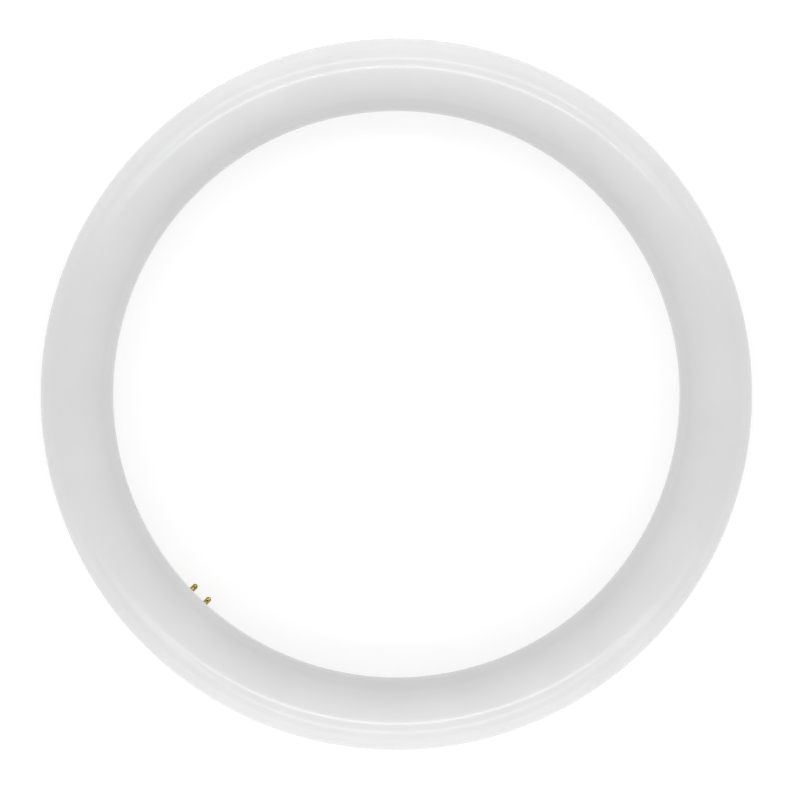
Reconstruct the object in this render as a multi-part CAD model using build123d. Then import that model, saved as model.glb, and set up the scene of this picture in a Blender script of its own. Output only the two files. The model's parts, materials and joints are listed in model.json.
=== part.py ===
from build123d import *

import os
from math import cos, radians, sin, tan

# Circular LED tube: a sealed opal ring whose moulded base, on its inner rear side, carries four contact pins.
# Millimetres. The ring's axis is +Z and its lit front faces up. The base lies at -X.
# Z is 0 at the lowest point of the whole lamp, and X and Y are 0 on the ring's axis.

# Ring
RING_DIAMETER = 300.0
TUBE_DIAMETER = 30.7

# Contact pins, four on a rectangle of the G10q pattern
PIN_PITCH = 7.92
PIN_ROW_GAP = 6.35
PIN_DIAMETER = 2.35
PIN_LENGTH = 6.7
PIN_TIP_RADIUS = 0.8
PIN_TAPER_ANGLE = 30.0
PIN_BORE_DIAMETER = 1.2
PIN_NOSE_WALL = 1.0
PIN_SHANK_DIAMETER = 2.7
PIN_HEAD_DIAMETER = 3.1
PIN_HEAD_THICKNESS = 0.8
CRIMP_FROM_ROOT = 3.3
CRIMP_DEPTH = 0.25
CRIMP_RADIUS = 0.6

# Pin base
BASE_TILT = 45.0
BASE_STAND_PROUD = 0.2
SPIGOT_WALL = 0.55
SPIGOT_LENGTH = 4.5
SPIGOT_CORNER_RADIUS = 1.2
FLANGE_THICKNESS = 2.2
FLANGE_OVERHANG_ALONG = 2.7
FLANGE_OVERHANG_ACROSS = 0.35
FLANGE_CORNER_RADIUS = 2.0
FLANGE_RIM_CHAMFER = 0.4

# Clearances
SEAT_CLEARANCE = 0.15
WELL_FLOOR_CLEARANCE = 0.3
PIN_CLEARANCE = 0.02

# Levels along the base's axis, counted outwards from the centre of the tube's section
tube_radius = TUBE_DIAMETER / 2
ring_radius = (RING_DIAMETER - TUBE_DIAMETER) / 2
face_level = tube_radius + BASE_STAND_PROUD
ledge_level = face_level - FLANGE_THICKNESS
spigot_end_level = ledge_level - SPIGOT_LENGTH
well_floor_level = spigot_end_level - WELL_FLOOR_CLEARANCE
pin_shoulder_level = spigot_end_level + PIN_HEAD_THICKNESS
pin_tip_level = face_level + PIN_LENGTH

# Outlines across the base's axis. Along runs with the ring, across runs over the tube's section.
spigot_along = PIN_PITCH + PIN_HEAD_DIAMETER + 2 * SPIGOT_WALL
spigot_across = PIN_ROW_GAP + PIN_HEAD_DIAMETER + 2 * SPIGOT_WALL
flange_along = spigot_along + 2 * FLANGE_OVERHANG_ALONG
flange_across = spigot_across + 2 * FLANGE_OVERHANG_ACROSS

# The pin's nose is a taper that runs into a ball tip without an edge.
pin_radius = PIN_DIAMETER / 2
taper = radians(PIN_TAPER_ANGLE)
ball_level = pin_tip_level - PIN_TIP_RADIUS
taper_end_level = ball_level + PIN_TIP_RADIUS * sin(taper)
taper_end_radius = PIN_TIP_RADIUS * cos(taper)
taper_root_level = taper_end_level - (pin_radius - taper_end_radius) / tan(taper)

# The rear pins reach below the ring, so the lamp's lowest point is the tube's underside or their noses.
tilt = radians(BASE_TILT)
ball_drop = ball_level * sin(tilt) + PIN_ROW_GAP / 2 * cos(tilt) + PIN_TIP_RADIUS
taper_root_drop = taper_root_level * sin(tilt) + (PIN_ROW_GAP / 2 + pin_radius) * cos(tilt)
section_height = max(tube_radius, ball_drop, taper_root_drop)

# The base's own plane: X along the ring, Y towards the front and the ring's axis, Z out along the pins
base_plane = Plane(
    origin=(-ring_radius, 0, section_height),
    x_dir=(0, 1, 0),
    z_dir=(cos(tilt), 0, -sin(tilt)),
)


def rounded_block(along, across, corner_radius, low, high):
    """A block with rounded upright corners between two levels of the base's axis."""
    return extrude(Pos(0, 0, low) * RectangleRounded(along, across, corner_radius), high - low)


def cylinder_between(diameter, low, high):
    """A round bar or hole between two levels of the base's axis."""
    return extrude(Pos(0, 0, low) * Circle(diameter / 2), high - low)


def make_tube():
    """The sealed ring: a round section turned about the ring's axis, with the seat that takes the base."""
    section = Plane.XZ * Pos(ring_radius, section_height) * Circle(tube_radius)
    return revolve(section, Axis.Z) - base_plane.location * make_base_seat()


def make_base_seat():
    """The stepped opening in the tube: a ledge for the base's flange and a well for its spigot."""
    past_the_tube = face_level + FLANGE_THICKNESS
    ledge = rounded_block(
        flange_along + 2 * SEAT_CLEARANCE,
        flange_across + 2 * SEAT_CLEARANCE,
        FLANGE_CORNER_RADIUS + SEAT_CLEARANCE,
        ledge_level,
        past_the_tube,
    )
    well = rounded_block(
        spigot_along + 2 * SEAT_CLEARANCE,
        spigot_across + 2 * SEAT_CLEARANCE,
        SPIGOT_CORNER_RADIUS + SEAT_CLEARANCE,
        well_floor_level,
        past_the_tube,
    )
    return ledge + well


def pin_places():
    """The four pins' places on the base: number, place along, place across."""
    corners = [(along, across) for across in (1, -1) for along in (-1, 1)]
    for number, (along, across) in enumerate(corners, start=1):
        yield number, along * PIN_PITCH / 2, across * PIN_ROW_GAP / 2


def make_pin_base():
    """The moulded base: a flange that seats on the tube's ledge, a spigot in its well, and the pins' holes."""
    flange = rounded_block(flange_along, flange_across, FLANGE_CORNER_RADIUS, ledge_level, face_level)
    rim = flange.faces().sort_by(Axis.Z)[-1].edges()
    base = chamfer(rim, FLANGE_RIM_CHAMFER)
    base += rounded_block(
        spigot_along, spigot_across, SPIGOT_CORNER_RADIUS, spigot_end_level, ledge_level
    )
    for _, along, across in pin_places():
        base -= Pos(along, across, 0) * make_pin_hole()
    return base_plane.location * base


def make_pin_hole():
    """The stepped hole that a pin is pushed into from the back, up to its head's shoulder."""
    shank_hole = cylinder_between(
        PIN_SHANK_DIAMETER + 2 * PIN_CLEARANCE, spigot_end_level, face_level
    )
    head_hole = cylinder_between(
        PIN_HEAD_DIAMETER + 2 * PIN_CLEARANCE, spigot_end_level, pin_shoulder_level
    )
    return shank_hole + head_hole


def make_contact_pin(crimp_side):
    """A hollow turned pin with a tapered round nose, crimped on the side away from the other row."""
    steps = [
        (0, spigot_end_level),
        (PIN_HEAD_DIAMETER / 2, spigot_end_level),
        (PIN_HEAD_DIAMETER / 2, pin_shoulder_level),
        (PIN_SHANK_DIAMETER / 2, pin_shoulder_level),
        (PIN_SHANK_DIAMETER / 2, face_level),
        (pin_radius, face_level),
        (pin_radius, taper_root_level),
        (taper_end_radius, taper_end_level),
    ]
    ball_tip = CenterArc((0, ball_level), PIN_TIP_RADIUS, PIN_TAPER_ANGLE, 90 - PIN_TAPER_ANGLE)
    outline = Polyline(*steps) + ball_tip + Line((0, pin_tip_level), (0, spigot_end_level))
    pin = revolve(Plane.XZ * make_face(outline), Axis.Z)
    pin -= cylinder_between(PIN_BORE_DIAMETER, spigot_end_level, pin_tip_level - PIN_NOSE_WALL)
    crimp_centre = pin_radius - CRIMP_DEPTH + CRIMP_RADIUS
    crimp = Pos(0, crimp_side * crimp_centre, face_level + CRIMP_FROM_ROOT) * Sphere(CRIMP_RADIUS)
    return pin - crimp


def make_pieces():
    """Every piece of the lamp in its place, by name."""
    pieces = {"tube": make_tube(), "pin_base": make_pin_base()}
    for number, along, across in pin_places():
        crimp_side = 1 if across > 0 else -1
        place = base_plane.location * Pos(along, across, 0)
        pieces[f"contact_pin_{number}"] = place * make_contact_pin(crimp_side)
    return pieces


os.makedirs("parts", exist_ok=True)
for name, piece in make_pieces().items():
    export_step(piece, f"parts/{name}.step")
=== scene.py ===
import json
from math import asin, cos, pi, radians, sin, tan, tau

import bmesh
import bpy
from mathutils import Matrix, Vector


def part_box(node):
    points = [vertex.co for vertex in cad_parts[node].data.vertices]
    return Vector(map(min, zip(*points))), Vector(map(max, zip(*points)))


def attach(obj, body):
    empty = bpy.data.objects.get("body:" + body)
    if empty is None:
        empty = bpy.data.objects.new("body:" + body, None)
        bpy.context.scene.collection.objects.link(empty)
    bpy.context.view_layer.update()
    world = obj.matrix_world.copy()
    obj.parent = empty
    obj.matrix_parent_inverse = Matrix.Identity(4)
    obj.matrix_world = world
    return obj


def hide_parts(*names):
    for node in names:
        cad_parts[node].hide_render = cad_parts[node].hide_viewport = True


# A circular LED tube on a pale floor, seen straight down onto its front. Metres.

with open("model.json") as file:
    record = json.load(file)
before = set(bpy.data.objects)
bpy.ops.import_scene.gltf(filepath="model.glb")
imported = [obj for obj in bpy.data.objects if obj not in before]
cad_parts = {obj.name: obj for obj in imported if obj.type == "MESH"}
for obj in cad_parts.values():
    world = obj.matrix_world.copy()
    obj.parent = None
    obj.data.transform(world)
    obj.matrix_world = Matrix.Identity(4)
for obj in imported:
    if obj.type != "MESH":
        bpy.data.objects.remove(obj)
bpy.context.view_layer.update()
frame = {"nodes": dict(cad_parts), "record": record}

# The ring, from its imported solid
tube_low, tube_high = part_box("tube")
outer_radius = tube_high.x
tube_radius = (tube_high.z - tube_low.z) / 2
ring_radius = outer_radius - tube_radius
section_height = (tube_high.z + tube_low.z) / 2
section_centre = Vector((-ring_radius, 0, section_height))

# The base's directions: out along the pins, along the ring, and across towards the front
pin_mounts = [mount for mount in frame["record"]["mounts"] if mount["kind"] == "pin"]
out = Vector(pin_mounts[0]["axis"]).normalized()
along = Vector((0, 1, 0))
across = out.cross(along)

# Ring mesh, with the groove of a weld seam on each side behind the widest line
RING_SEGMENTS = 512
SECTION_SEGMENTS = 96
SEAM_BELOW_WIDEST = 0.0024
SEAM_HALF_WIDTH = 0.0002
SEAM_DEPTH = 0.00012
SHARP_ANGLE = radians(28)

# Base seat in the ring
SEAT_CLEARANCE = 0.00015
WELL_FLOOR_CLEARANCE = 0.0003
FLANGE_CORNER_RADIUS = 0.002
SPIGOT_CORNER_RADIUS = 0.0012
CORNER_SEGMENTS = 10

# Painted shade that darkens the pins' crimps: how far under the pin's round wall it starts and is full,
# and the length over which it fades out behind the nose
CRIMP_SHADE_START_DEPTH = 0.00002
CRIMP_SHADE_FULL_DEPTH = 0.00018
CRIMP_SHADE_FADE = 0.0002

# Photograph
IMAGE_SIZE = 800
RING_CENTRE_PX = (396.4, 394.2)
RING_DIAMETER_PX = 711.6
IMAGE_TURN = radians(-45.6)

# Camera
CAMERA_DISTANCE = 4.0
SENSOR = 36.0

# Lamps above the ring, each gridded by its spread so that it lights its own side. Side 1 is towards the
# top of the picture and -1 towards its bottom. Seen at is the angle from the upright at which the ring
# sees the lamp, height counts up from the ring, and shift runs to the right. Outward turns the lamp's face
# away from the ring.
FIRST_STRIP = {"height": 0.8, "width": 0.06, "spread": radians(122)}
SECOND_STRIP = {"height": 0.2, "width": 0.03, "length": 0.5, "spread": radians(130)}
PANEL = {"height": 0.25, "width": 0.3, "length": 0.8, "spread": radians(136), "seen_at": radians(48)}
RING_LAMPS = [
    {
        "side": 1,
        "seen_at": radians(24.4),
        "outward": radians(22),
        "shift": -0.2,
        "length": 2.0,
        "brightness": 10.5,
        **FIRST_STRIP,
    },
    {
        "side": -1,
        "seen_at": radians(30.3),
        "outward": radians(20),
        "length": 1.8,
        "brightness": 16,
        **FIRST_STRIP,
    },
    {"side": 1, "seen_at": radians(51.5), "outward": radians(-10), "brightness": 3.4, **SECOND_STRIP},
    {"side": -1, "seen_at": radians(60), "outward": radians(-15), "brightness": 4.6, **SECOND_STRIP},
    {"side": 1, "shift": -0.65, "brightness": 1.1, **PANEL},
    {"side": 1, "shift": 0.65, "brightness": 1.1, **PANEL},
    {"side": -1, "shift": -0.65, "brightness": 1.4, **PANEL},
    {"side": -1, "shift": 0.65, "brightness": 1.4, **PANEL},
]

# The small lamp for the pins' glint, with its distance and elevation counted from the pins
PIN_LAMP = {
    "distance": 0.2,
    "elevation": radians(3),
    "width": 0.008,
    "length": 0.03,
    "spread": radians(10),
    "brightness": 0.26,
}

# Surround
WORLD_STRENGTH = 0.805
WORLD_SEEN_STRENGTH = 1.0

# Floor
FLOOR_SIZE = 20.0
FLOOR_COLOUR = 0.74
FLOOR_SEEN_COLOUR = 0.32
FLOOR_SEEN_GLOW = 0.74
FLOOR_SPECKLE = 0.004


class Nodes:
    """A material's nodes, made and linked by short calls."""

    def __init__(self, name):
        self.material = bpy.data.materials.new(name)
        self.material.use_nodes = True
        self.tree = self.material.node_tree
        self.shader = self.tree.nodes["Principled BSDF"]

    def add(self, kind, inputs=None, **settings):
        node = self.tree.nodes.new(kind)
        for setting, value in settings.items():
            setattr(node, setting, value)
        for socket, value in (inputs or {}).items():
            self.feed(node, socket, value)
        return node

    def feed(self, node, socket, value):
        if isinstance(value, bpy.types.NodeSocket):
            self.tree.links.new(value, node.inputs[socket])
        else:
            node.inputs[socket].default_value = value

    def shade(self, **inputs):
        """Sets the shader's sockets. A name's underscores stand for spaces."""
        for socket, value in inputs.items():
            self.feed(self.shader, socket.replace("_", " "), value)

    def place(self):
        """The surface point in the row frame, since every piece's object sits at the origin."""
        return self.add("ShaderNodeTexCoord").outputs["Object"]

    def noise(self, vector, scale, detail=2.0):
        inputs = {"Vector": vector, "Scale": scale, "Detail": detail}
        return self.add("ShaderNodeTexNoise", inputs).outputs["Fac"]

    def ramp(self, factor, low, high, start=0.3, end=0.7):
        """A number that runs from low to high as the factor runs from start to end."""
        inputs = {"Value": factor, "From Min": start, "From Max": end, "To Min": low, "To Max": high}
        return self.add("ShaderNodeMapRange", inputs).outputs["Result"]

    def tint(self, factor, first, second):
        """A colour between two, first where the factor is 0."""
        stops = self.add("ShaderNodeValToRGB", {"Fac": factor})
        stops.color_ramp.elements[0].color = (*first, 1)
        stops.color_ramp.elements[1].color = (*second, 1)
        return stops.outputs["Color"]

    def mix_colour(self, factor, first, second):
        """A colour between a socket's colour and a plain one, first where the factor is 0."""
        mix = self.add("ShaderNodeMix", data_type="RGBA")
        sockets = {socket.identifier: socket for socket in mix.inputs}
        self.tree.links.new(factor, sockets["Factor_Float"])
        self.tree.links.new(first, sockets["A_Color"])
        sockets["B_Color"].default_value = (*second, 1)
        return next(socket for socket in mix.outputs if socket.identifier == "Result_Color")

    def bump(self, height, distance, strength=1.0):
        inputs = {"Height": height, "Distance": distance, "Strength": strength}
        return self.add("ShaderNodeBump", inputs).outputs["Normal"]

    def math(self, operation, first, second=0.0):
        return self.add("ShaderNodeMath", {0: first, 1: second}, operation=operation).outputs["Value"]

    def vector_math(self, operation, first, second):
        inputs = {0: first, 1: second}
        return self.add("ShaderNodeVectorMath", inputs, operation=operation).outputs["Vector"]

    def dot(self, vector, direction):
        inputs = {0: vector, 1: tuple(direction)}
        return self.add("ShaderNodeVectorMath", inputs, operation="DOT_PRODUCT").outputs["Value"]


def base_place(point):
    """A point as (along, across, level), counted from the centre of the tube's section at the base."""
    offset = point - section_centre
    return offset.dot(along), offset.dot(across), offset.dot(out)


def base_point(place_along, place_across, level):
    """The point at a place along, across and out from the same centre."""
    return section_centre + along * place_along + across * place_across + out * level


def make_opal_plastic():
    """Glossy opal plastic: faint clouds from its milky filler, and a moulded skin that isn't quite flat."""
    nodes = Nodes("opal_plastic")
    place = nodes.place()
    clouds = nodes.noise(place, scale=45, detail=3)
    skin = nodes.noise(place, scale=900)
    nodes.shade(
        Base_Color=nodes.tint(nodes.ramp(clouds, 0, 1), (0.737, 0.737, 0.737), (0.765, 0.764, 0.764)),
        Roughness=nodes.ramp(skin, 0.18, 0.22),
        Normal=nodes.bump(skin, 0.000002),
        IOR=1.585,
        Subsurface_Weight=0.12,
        Subsurface_Radius=(1.0, 0.95, 0.9),
        Subsurface_Scale=0.003,
    )
    return nodes.material


def make_white_plastic():
    """Matt moulded plastic with a fine spark-eroded grain."""
    nodes = Nodes("white_plastic")
    place = nodes.place()
    clouds = nodes.noise(place, scale=120, detail=3)
    grain = nodes.noise(place, scale=5200, detail=3)
    nodes.shade(
        Base_Color=nodes.tint(nodes.ramp(clouds, 0, 1), (0.70, 0.70, 0.68), (0.75, 0.75, 0.73)),
        Roughness=nodes.ramp(grain, 0.42, 0.6),
        Normal=nodes.bump(grain, 0.00002),
        IOR=1.52,
    )
    return nodes.material


def make_brass():
    """Turned brass: tool marks round the pin, tarnish in patches, and painted shade darkening the crimp."""
    nodes = Nodes("turned_brass")
    place = nodes.place()
    from_centre = nodes.vector_math("SUBTRACT", place, tuple(section_centre))
    level = nodes.dot(from_centre, out)
    marks = nodes.add("ShaderNodeTexNoise", {"W": level, "Scale": 9000, "Detail": 2}, noise_dimensions="1D")
    tarnish = nodes.noise(place, scale=700, detail=4)
    crimp_shade = crimp_painted_shade(nodes, from_centre, level)
    clean = nodes.tint(nodes.ramp(tarnish, 0, 1), (0.22, 0.16, 0.036), (0.40, 0.30, 0.095))
    nodes.shade(
        # Painted shade: the crimp is coloured dark, and made rougher below so that it stays dark.
        Base_Color=nodes.mix_colour(crimp_shade, clean, (0.05, 0.028, 0.01)),
        Metallic=1.0,
        Roughness=nodes.math("ADD", nodes.ramp(tarnish, 0.32, 0.24), nodes.math("MULTIPLY", crimp_shade, 0.4)),
        Normal=nodes.bump(marks.outputs["Fac"], 0.000006),
    )
    return nodes.material


def crimp_painted_shade(nodes, from_centre, level):
    """How strong the crimp's painted shade is: under the pin's round wall, but not on its tapered nose."""
    mount = pin_mounts[0]
    _, _, wall_middle = base_place(Vector(mount["pos_m"]))
    nose_level = wall_middle + mount["dims"]["length_mm"] / 2000
    depth = depth_in_pin(nodes, from_centre)
    in_crimp = nodes.ramp(depth, 0, 1, start=CRIMP_SHADE_START_DEPTH, end=CRIMP_SHADE_FULL_DEPTH)
    behind_nose = nodes.ramp(level, 1, 0, start=nose_level - CRIMP_SHADE_FADE, end=nose_level)
    return nodes.math("MULTIPLY", in_crimp, behind_nose)


def depth_in_pin(nodes, from_centre):
    """How far a point lies inside the round wall of its own pin. The pins stand evenly about the centre."""
    mount = pin_mounts[0]
    pin_along, pin_across, _ = base_place(Vector(mount["pos_m"]))
    squares = []
    for direction, offset in ((along, abs(pin_along)), (across, abs(pin_across))):
        distance = nodes.math("ABSOLUTE", nodes.dot(from_centre, direction))
        distance = nodes.math("SUBTRACT", distance, offset)
        squares.append(nodes.math("MULTIPLY", distance, distance))
    radius = nodes.math("SQRT", nodes.math("ADD", *squares))
    return nodes.math("SUBTRACT", mount["dims"]["r_mm"] / 1000, radius)


def make_floor_paint():
    """Pale paint. Seen straight or mirrored it glows a little towards white, and still takes the shadow."""
    nodes = Nodes("floor_paint")
    place = nodes.place()
    paths = nodes.add("ShaderNodeLightPath").outputs
    seen = nodes.math("MAXIMUM", paths["Is Camera Ray"], paths["Is Glossy Ray"])
    seen = nodes.math("MAXIMUM", seen, paths["Is Transmission Ray"])
    speckle = nodes.ramp(nodes.noise(place, scale=60), -FLOOR_SPECKLE, FLOOR_SPECKLE)
    plain_colour = nodes.ramp(seen, FLOOR_COLOUR, FLOOR_SEEN_COLOUR, start=0, end=1)
    nodes.shade(
        Base_Color=nodes.math("ADD", plain_colour, speckle),
        Roughness=0.9,
        Specular_IOR_Level=0.0,
        Emission_Color=(1, 1, 1, 1),
        Emission_Strength=nodes.ramp(seen, 0, FLOOR_SEEN_GLOW, start=0, end=1),
    )
    return nodes.material


def make_object(name, mesh):
    """Turns a bmesh into an object and frees it."""
    bmesh.ops.recalc_face_normals(mesh, faces=mesh.faces)
    data = bpy.data.meshes.new(name)
    mesh.to_mesh(data)
    mesh.free()
    made = bpy.data.objects.new(name, data)
    bpy.context.collection.objects.link(made)
    return made


def smooth(data):
    """Shades a mesh smooth apart from its real edges."""
    data.shade_smooth()
    data.set_sharp_from_angle(angle=SHARP_ANGLE)


def section_points():
    """The tube's section as (radius, height) points, with a seam's groove on each side."""
    seam_angle = asin(SEAM_BELOW_WIDEST / tube_radius)
    half_angle = SEAM_HALF_WIDTH / tube_radius
    depths = {}
    for centre in (-seam_angle, pi + seam_angle):
        depths[centre - half_angle] = 0
        depths[centre] = SEAM_DEPTH
        depths[centre + half_angle] = 0
    for step in range(SECTION_SEGMENTS):
        angle = -pi / 2 + tau * step / SECTION_SEGMENTS
        if all(abs(angle - seam) > 2 * half_angle for seam in depths):
            depths[angle] = 0
    for angle, depth in sorted(depths.items()):
        radius = tube_radius - depth
        yield ring_radius + radius * cos(angle), section_height + radius * sin(angle)


def turn_section(points, segments):
    """A closed section turned about the ring's axis."""
    mesh = bmesh.new()
    turns = []
    for step in range(segments):
        angle = tau * step / segments
        turns.append([mesh.verts.new((r * cos(angle), r * sin(angle), z)) for r, z in points])
    for step, turn in enumerate(turns):
        following = turns[(step + 1) % segments]
        for index, vertex in enumerate(turn):
            after = (index + 1) % len(turn)
            mesh.faces.new((vertex, turn[after], following[after], following[index]))
    return mesh


def rounded_outline(half_along, half_across, corner_radius):
    """A rectangle with round corners, as (along, across) points."""
    centres = [
        (half_along - corner_radius, half_across - corner_radius),
        (corner_radius - half_along, half_across - corner_radius),
        (corner_radius - half_along, corner_radius - half_across),
        (half_along - corner_radius, corner_radius - half_across),
    ]
    for corner, (centre_along, centre_across) in enumerate(centres):
        for step in range(CORNER_SEGMENTS + 1):
            angle = pi / 2 * (corner + step / CORNER_SEGMENTS)
            yield centre_along + corner_radius * cos(angle), centre_across + corner_radius * sin(angle)


def make_block(name, outline, low, high):
    """An upright block on an outline, between two levels of the base's axis."""
    mesh = bmesh.new()
    rims = [[mesh.verts.new(base_point(x, y, level)) for x, y in outline] for level in (low, high)]
    for rim in rims:
        mesh.faces.new(rim)
    for index in range(len(outline)):
        after = (index + 1) % len(outline)
        mesh.faces.new((rims[0][index], rims[0][after], rims[1][after], rims[1][index]))
    return make_object(name, mesh)


def make_seat_cutters():
    """The two blocks that clear the ring for the base's flange and spigot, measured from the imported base."""
    places = [base_place(vertex.co) for vertex in frame["nodes"]["pin_base"].data.vertices]
    flange_along, flange_across, face_level = (max(place[axis] for place in places) for axis in range(3))
    ledge_level = min(level for x, _, level in places if x > flange_along - FLANGE_CORNER_RADIUS)
    spigot = [place for place in places if place[2] < ledge_level - SEAT_CLEARANCE]
    spigot_along, spigot_across = (max(place[axis] for place in spigot) for axis in range(2))
    well_floor = min(place[2] for place in spigot) - WELL_FLOOR_CLEARANCE
    past_the_tube = face_level + tube_radius / 4
    blocks = [
        ("flange_seat", flange_along, flange_across, FLANGE_CORNER_RADIUS, ledge_level),
        ("spigot_well", spigot_along, spigot_across, SPIGOT_CORNER_RADIUS, well_floor),
    ]
    for name, half_along, half_across, corner_radius, low in blocks:
        sizes = (size + SEAT_CLEARANCE for size in (half_along, half_across, corner_radius))
        yield make_block(name, list(rounded_outline(*sizes)), low, past_the_tube)


def cut(piece, cutters):
    """Cuts the cutters' shapes out of a piece and deletes them."""
    for cutter in cutters:
        boolean = piece.modifiers.new(cutter.name, "BOOLEAN")
        boolean.operation = "DIFFERENCE"
        boolean.solver = "EXACT"
        boolean.object = cutter
    graph = bpy.context.evaluated_depsgraph_get()
    cut_mesh = bpy.data.meshes.new_from_object(piece.evaluated_get(graph))
    piece.modifiers.clear()
    piece.data = cut_mesh
    for cutter in cutters:
        bpy.data.objects.remove(cutter)


def make_ring(material):
    """The opal ring with its seam, and the stepped seat that the base sits in."""
    ring = make_object("opal_ring", turn_section(list(section_points()), RING_SEGMENTS))
    ring.data.materials.append(material)
    cut(ring, list(make_seat_cutters()))
    smooth(ring.data)
    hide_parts("tube")
    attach(ring, "root")


def make_floor(material):
    """The floor, which touches a rear pin's nose and the far side of the tube, so it slopes a little."""
    nose_low, nose_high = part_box("contact_pin_3")
    nose_x = (nose_low.x + nose_high.x) / 2
    slope = (tube_low.z - nose_low.z) / (ring_radius - nose_x)
    half = FLOOR_SIZE / 2
    corners = [(-half, -half), (half, -half), (half, half), (-half, half)]
    mesh = bmesh.new()
    mesh.faces.new([mesh.verts.new((x, y, nose_low.z + slope * (x - nose_x))) for x, y in corners])
    floor = make_object("floor", mesh)
    floor.data.materials.append(material)


def image_directions():
    """The photograph's right and up, in the row frame."""
    turn = Matrix.Rotation(IMAGE_TURN, 3, "Z")
    return turn @ Vector((1, 0, 0)), turn @ Vector((0, 1, 0))


def add_camera():
    """Looks straight down, off the ring's axis by what puts the ring where the photograph has it."""
    pixel = 2 * outer_radius / RING_DIAMETER_PX
    right, up = image_directions()
    aim = right * (IMAGE_SIZE / 2 - RING_CENTRE_PX[0]) * pixel
    aim += up * (RING_CENTRE_PX[1] - IMAGE_SIZE / 2) * pixel
    data = bpy.data.cameras.new("camera")
    data.sensor_width = SENSOR
    data.lens = SENSOR * CAMERA_DISTANCE / (IMAGE_SIZE * pixel)
    data.clip_end = 2 * FLOOR_SIZE
    camera = bpy.data.objects.new("camera", data)
    camera.location = aim + Vector((0, 0, section_height + CAMERA_DISTANCE))
    camera.rotation_euler = (0, 0, IMAGE_TURN)
    bpy.context.collection.objects.link(camera)
    bpy.context.scene.camera = camera


def hang_lamp(place, back, lengthwise, width, length, spread, brightness):
    """A rectangular lamp that shines away from its back and isn't seen itself."""
    data = bpy.data.lights.new("lamp", "AREA")
    data.shape = "RECTANGLE"
    data.size = length
    data.size_y = width
    data.spread = spread
    data.energy = brightness * pi * width * length
    lamp = bpy.data.objects.new("lamp", data)
    facing = Matrix((lengthwise, back.cross(lengthwise), back)).transposed()
    lamp.matrix_world = Matrix.Translation(place) @ facing.to_4x4()
    lamp.visible_camera = False
    bpy.context.collection.objects.link(lamp)


def light_ring(side, seen_at, height, shift=0.0, outward=0.0, **lamp):
    """A lamp above and outside the ring, with its length across the picture."""
    right, up = image_directions()
    back = Vector((0, 0, 1)) * cos(outward) - up * side * sin(outward)
    place = up * side * (ring_radius + height * tan(seen_at)) + right * shift
    place.z = section_height + height
    hang_lamp(place, back, right, **lamp)


def light_pins(distance, elevation, **lamp):
    """A small lamp low inside the ring, gridded onto the pins, for the glint along them."""
    pins = sum((Vector(mount["pos_m"]) for mount in pin_mounts), Vector()) / len(pin_mounts)
    back = Vector((out.x, out.y, 0)).normalized() * cos(elevation)
    back.z = sin(elevation)
    hang_lamp(pins + back * distance, back, along, **lamp)


def set_world():
    """An even pale surround, plain white where the camera sees it."""
    world = bpy.data.worlds.new("surround")
    world.use_nodes = True
    nodes = world.node_tree.nodes
    paths = nodes.new("ShaderNodeLightPath")
    strength = nodes.new("ShaderNodeMapRange")
    strength.inputs["To Min"].default_value = WORLD_STRENGTH
    strength.inputs["To Max"].default_value = WORLD_SEEN_STRENGTH
    world.node_tree.links.new(paths.outputs["Is Camera Ray"], strength.inputs["Value"])
    world.node_tree.links.new(strength.outputs["Result"], nodes["Background"].inputs["Strength"])
    nodes["Background"].inputs["Color"].default_value = (1, 1, 1, 1)
    bpy.context.scene.world = world


make_ring(make_opal_plastic())
frame["nodes"]["pin_base"].material_slots[0].material = make_white_plastic()
brass = make_brass()
for number in range(1, len(pin_mounts) + 1):
    frame["nodes"][f"contact_pin_{number}"].material_slots[0].material = brass
make_floor(make_floor_paint())
add_camera()
for lamp in RING_LAMPS:
    light_ring(**lamp)
light_pins(**PIN_LAMP)
set_world()
bpy.context.scene.view_settings.view_transform = "Standard"
